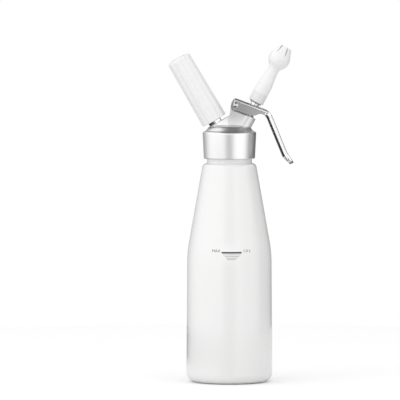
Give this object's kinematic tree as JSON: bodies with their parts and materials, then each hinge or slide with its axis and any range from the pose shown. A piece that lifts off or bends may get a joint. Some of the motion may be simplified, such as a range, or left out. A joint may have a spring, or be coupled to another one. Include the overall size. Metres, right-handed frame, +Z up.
{
  "type": "whipped cream dispenser",
  "caption": "White lacquered pressure bottle with a screw-on cast metal head, a squeeze lever, a grooved charger holder on one side and a tulip decorating nozzle on the other",
  "frame": {"origin": "centre of the bottle's base, on the surface that the dispenser stands on", "axes": "+Z up along the bottle; +X toward the lever and the nozzle, -X toward the charger holder; the object is the same on both sides of the XZ plane"},
  "size_m": [0.1347, 0.0928, 0.3654],
  "materials": {
    "white_lacquer": "smooth white lacquer on drawn aluminium",
    "cast_aluminium": "satin polished casting",
    "lever_steel": "polished pressed stainless sheet",
    "polished_steel": "turned and polished stainless",
    "spring_steel": "drawn stainless wire",
    "charger_steel": "zinc plated",
    "plated_brass": "nickel plated",
    "cap_foil": "plain aluminium",
    "white_plastic": "moulded, glossy",
    "nozzle_plastic": "moulded, slightly milky",
    "bush_plastic": "turned bearing plastic",
    "seal_rubber": "food grade rubber"
  },
  "bodies": {
    "bottle": {"bottle": "white_lacquer"},
    "gasket": {"head_gasket": "seal_rubber"},
    "head": {"head_casting": "cast_aluminium", "inlet_nipple": "plated_brass", "piercing_pin": "polished_steel", "charger_seal": "seal_rubber", "check_sleeve": "seal_rubber", "valve_bush": "bush_plastic", "valve_spring": "spring_steel", "lever_pin": "lever_steel", "pin_clip": "spring_steel"},
    "lever": {"lever": "lever_steel"},
    "valve": {"valve_stem": "polished_steel", "stem_o_ring": "seal_rubber", "valve_seal": "seal_rubber", "seal_backing": "polished_steel", "valve_nut": "polished_steel", "thrust_ring": "polished_steel", "nozzle_adapter": "plated_brass"},
    "washer": {"nozzle_washer": "seal_rubber"},
    "nozzle": {"decorator_nozzle": "nozzle_plastic"},
    "charger": {"gas_charger": "charger_steel", "charger_cap": "cap_foil"},
    "holder": {"charger_holder": "white_plastic", "holder_insert": "cap_foil"}
  },
  "joints": [
    {"name": "head_rise", "type": "slide", "parent": "bottle", "child": "gasket", "axis": [0, 0, 1], "range_m": [0, 0.016]},
    {"name": "head_turn", "type": "hinge", "parent": "gasket", "child": "head", "pos_m": [0, 0, 0.26], "axis": [0, 0, 1], "range_deg": [0, 1450]},
    {"name": "lever_squeeze", "type": "hinge", "parent": "head", "child": "lever", "pos_m": [0.00674, 0, 0.2995], "axis": [0, 1, 0], "range_deg": [0, 10.5], "stiffness_Nm_per_rad": 0.6, "springref_deg": -17.19},
    {"name": "valve_slide", "type": "slide", "parent": "head", "child": "valve", "axis": [-0.4802, 0, -0.8771], "range_m": [0, 0.0033], "deforming": ["valve_spring"]},
    {"name": "nozzle_rise", "type": "slide", "parent": "valve", "child": "washer", "axis": [0.4802, 0, 0.8771], "range_m": [0, 0.006]},
    {"name": "nozzle_turn", "type": "hinge", "parent": "washer", "child": "nozzle", "pos_m": [0.0285, 0, 0.30303], "axis": [0.4802, 0, 0.8771], "range_deg": [0, 1450]},
    {"name": "charger_rise", "type": "slide", "parent": "head", "child": "charger", "axis": [-0.503, 0, 0.8643], "range_m": [0, 0.008]},
    {"name": "holder_turn", "type": "hinge", "parent": "charger", "child": "holder", "pos_m": [-0.01453, 0, 0.27969], "axis": [-0.503, 0, 0.8643], "range_deg": [0, 1450]}
  ],
  "couplings": [
    {"joint": "head_turn", "follows": "head_rise", "rad_per_m": 1570.8},
    {"joint": "valve_slide", "follows": "lever_squeeze", "m_per_rad": 0.0174},
    {"joint": "nozzle_turn", "follows": "nozzle_rise", "rad_per_m": 4188.8},
    {"joint": "holder_turn", "follows": "charger_rise", "rad_per_m": 3141.6}
  ]
}
